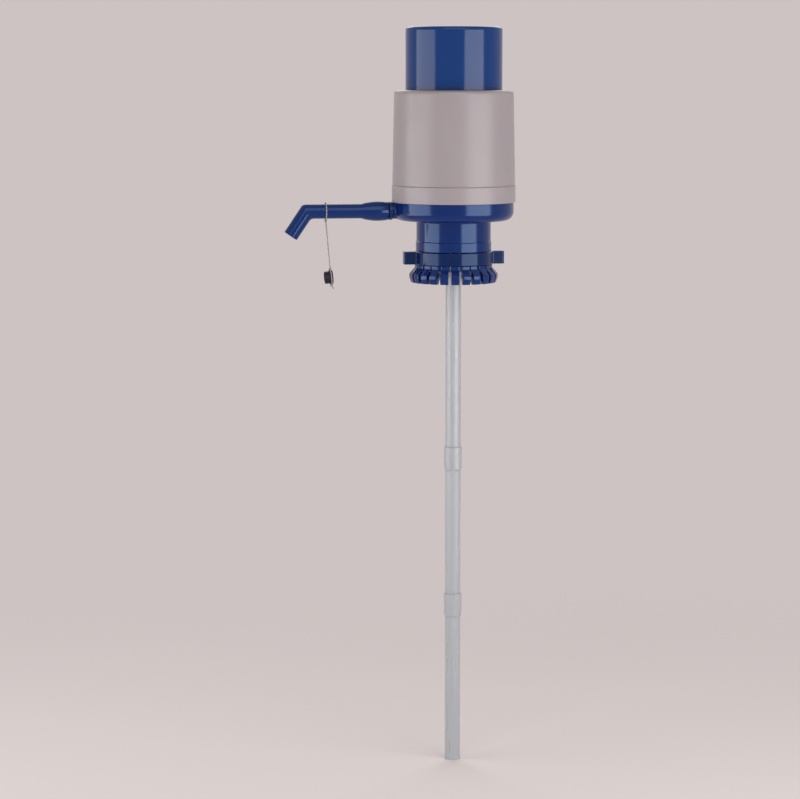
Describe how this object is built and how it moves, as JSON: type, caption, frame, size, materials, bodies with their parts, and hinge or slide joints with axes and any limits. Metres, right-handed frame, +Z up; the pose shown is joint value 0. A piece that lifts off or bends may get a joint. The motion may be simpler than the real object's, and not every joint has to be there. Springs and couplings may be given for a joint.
{
  "type": "water jug hand pump",
  "caption": "Hand pump for a large water bottle: blue press cap over a white case, blue base with side spout, lugged clamp ring, toothed claws and a long riser tube.",
  "frame": {"origin": "centre of the seat where the rim of the bottle meets the neck gasket", "axes": "+Z up along the pump and its riser tube, -X towards the spout"},
  "size_m": [0.2086, 0.111, 0.668],
  "materials": {
    "cap_blue": "gloss",
    "body_blue": "gloss",
    "lug_blue": "gloss",
    "case_white": "satin",
    "tube_clear": "translucent",
    "inner_white": "matt",
    "bellows_grey": "matt",
    "seal_white": "matt",
    "seal_black": "matt",
    "cap_dark": "matt",
    "thread_grey": "twisted thread",
    "screw_steel": "zinc plated"
  },
  "bodies": {
    "pump_body": {"base": "body_blue", "water_elbow": "inner_white", "outlet_stub": "body_blue", "spout_o_ring": "seal_black", "deck": "inner_white", "deck_screws": "screw_steel", "outlet_valve_cage": "inner_white", "outer_case": "case_white", "clamp_ring": "inner_white", "clamp_ring_screws": "screw_steel", "bellows": "bellows_grey", "neck_gasket": "seal_white", "collet": "body_blue", "upper_tube": "tube_clear", "middle_tube": "tube_clear", "lower_tube": "tube_clear"},
    "cap": {"press_cap": "cap_blue", "top_plate": "inner_white", "top_ring": "inner_white", "top_plate_screws": "screw_steel", "intake_valve_cage": "inner_white"},
    "intake_disc": {"intake_valve_disc": "seal_black"},
    "outlet_disc": {"outlet_valve_disc": "seal_black"},
    "clamp": {"lock_ring": "lug_blue"},
    "spout": {"spout": "body_blue"},
    "hanging_cap": {"dust_cap": "cap_dark", "tether": "thread_grey"}
  },
  "joints": [
    {"name": "cap_press", "type": "slide", "parent": "pump_body", "child": "cap", "axis": [0, 0, -1], "range_m": [0, 0.05], "stiffness_N_per_m": 400, "springref_m": -0.02, "deforming": ["bellows"]},
    {"name": "ring_turn", "type": "hinge", "parent": "pump_body", "child": "clamp", "pos_m": [0, 0, -0.01], "axis": [0, 0, 1], "range_deg": [0, 48]},
    {"name": "spout_swivel", "type": "hinge", "parent": "pump_body", "child": "spout", "pos_m": [-0.069, 0, 0.0325], "axis": [1, 0, 0], "continuous": true},
    {"name": "dust_cap_swing", "type": "hinge", "parent": "pump_body", "child": "hanging_cap", "pos_m": [-0.116, 0, 0.0325], "axis": [1, 0, 0], "range_deg": [-70, 70]},
    {"name": "intake_valve_lift", "type": "slide", "parent": "cap", "child": "intake_disc", "axis": [0, 0, 1], "range_m": [0, 0.0015]},
    {"name": "outlet_valve_lift", "type": "slide", "parent": "pump_body", "child": "outlet_disc", "axis": [0, 0, 1], "range_m": [0, 0.0015]}
  ]
}
